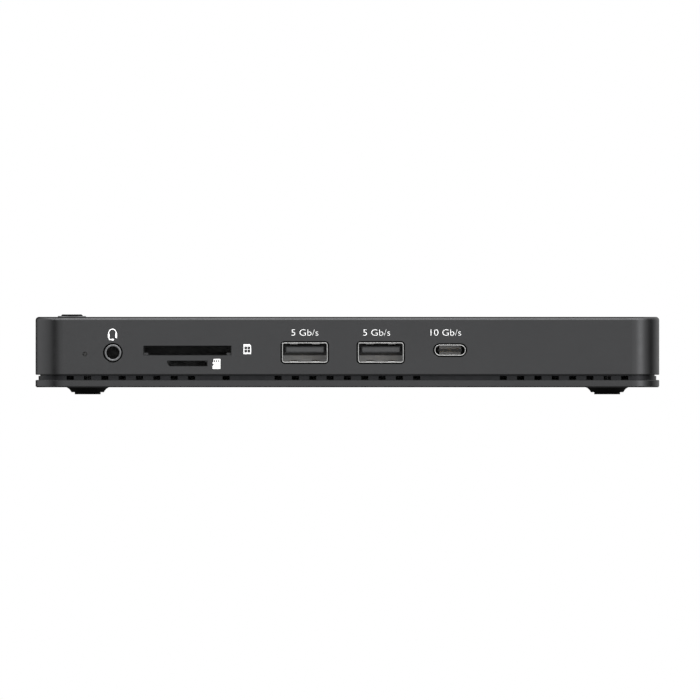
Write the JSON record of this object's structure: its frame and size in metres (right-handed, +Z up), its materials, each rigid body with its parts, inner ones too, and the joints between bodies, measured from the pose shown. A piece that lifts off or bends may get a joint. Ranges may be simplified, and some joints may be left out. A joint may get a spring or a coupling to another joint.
{
  "type": "laptop docking station",
  "caption": "Low rounded metal docking station with card slots, headset jack and USB sockets in front, display and network sockets behind, a top power button and round rubber feet.",
  "frame": {"origin": "middle of the footprint, on the surface that the feet stand on", "axes": "+X right and +Z up as seen from the front; the front face with the card slots faces -Y"},
  "size_m": [0.1782, 0.085, 0.0228],
  "materials": {
    "anodised_casing": "bead-blasted dark grey anodising",
    "vent_band": "bead-blasted dark grey anodising",
    "rubber_feet": "soft matt rubber",
    "screw_steel": "zinc-plated steel",
    "circuit_board": "solder mask over glass-fibre board",
    "button_black": "satin black moulding",
    "bezel_grey": "grey plated metal",
    "socket_plastic": "black moulded insulator",
    "shell_steel": "stamped stainless steel",
    "spring_steel": "bright spring wire",
    "contact_gold": "gold flash over copper alloy",
    "clear_pipe": "clear moulded pipe",
    "led_white": "white side-firing package",
    "chip_black": "black moulded package",
    "thermal_grey": "soft thermal pad",
    "spreader_aluminium": "plain extruded aluminium",
    "ferrite": "pressed ferrite",
    "capacitor_can": "bright can"
  },
  "bodies": {
    "root": {"audio_jack_body": "socket_plastic", "audio_jack_sleeve": "bezel_grey", "audio_jack_springs": "contact_gold", "base_plate": "anodised_casing", "board_screws": "screw_steel", "capacitors": "capacitor_can", "displayport_shell": "shell_steel", "displayport_tongue": "socket_plastic", "ethernet_chip": "chip_black", "ethernet_contacts": "contact_gold", "ethernet_jack_body": "socket_plastic", "ethernet_jack_shield": "shell_steel", "foot_front_left": "rubber_feet", "foot_front_right": "rubber_feet", "foot_rear_left": "rubber_feet", "foot_rear_right": "rubber_feet", "front_usb_a_contacts": "contact_gold", "front_usb_a_left_shell": "shell_steel", "front_usb_a_left_tongue": "socket_plastic", "front_usb_a_right_shell": "shell_steel", "front_usb_a_right_tongue": "socket_plastic", "front_usb_c_shell": "shell_steel", "front_usb_c_tongue": "socket_plastic", "hdmi_shell": "shell_steel", "hdmi_tongue": "socket_plastic", "heat_spreader": "spreader_aluminium", "host_usb_c_shell": "shell_steel", "host_usb_c_tongue": "socket_plastic", "housing_screws": "screw_steel", "hub_chip": "chip_black", "led_light_pipe": "clear_pipe", "main_board": "circuit_board", "microsd_socket_base": "socket_plastic", "microsd_socket_cover": "shell_steel", "microsd_socket_spring": "spring_steel", "power_button_ring": "bezel_grey", "power_chip": "chip_black", "power_inductors": "ferrite", "power_switch_body": "socket_plastic", "power_usb_c_shell": "shell_steel", "power_usb_c_tongue": "socket_plastic", "rear_usb_a_contacts": "contact_gold", "rear_usb_a_left_shell": "shell_steel", "rear_usb_a_left_tongue": "socket_plastic", "rear_usb_a_right_shell": "shell_steel", "rear_usb_a_right_tongue": "socket_plastic", "sd_socket_base": "socket_plastic", "sd_socket_cover": "shell_steel", "sd_socket_spring": "spring_steel", "status_led": "led_white", "thermal_pads": "thermal_grey", "top_housing": "anodised_casing", "vent_frame": "vent_band", "video_chip": "chip_black"},
    "power_button": {"power_button_cap": "button_black", "power_switch_plunger": "socket_plastic"},
    "sd_catch": {"sd_socket_slider": "socket_plastic"},
    "microsd_catch": {"microsd_socket_slider": "socket_plastic"}
  },
  "joints": [
    {"name": "power_button_press", "type": "slide", "parent": "root", "child": "power_button", "axis": [0, 0, -1], "range_m": [0, 0.0004], "stiffness_N_per_m": 1200, "springref_m": -0.0005},
    {"name": "sd_card_push", "type": "slide", "parent": "root", "child": "sd_catch", "axis": [0, 1, 0], "range_m": [0, 0.002], "stiffness_N_per_m": 300, "springref_m": -0.001, "deforming": ["sd_socket_spring"]},
    {"name": "microsd_card_push", "type": "slide", "parent": "root", "child": "microsd_catch", "axis": [0, 1, 0], "range_m": [0, 0.0012], "stiffness_N_per_m": 200, "springref_m": -0.001, "deforming": ["microsd_socket_spring"]}
  ]
}
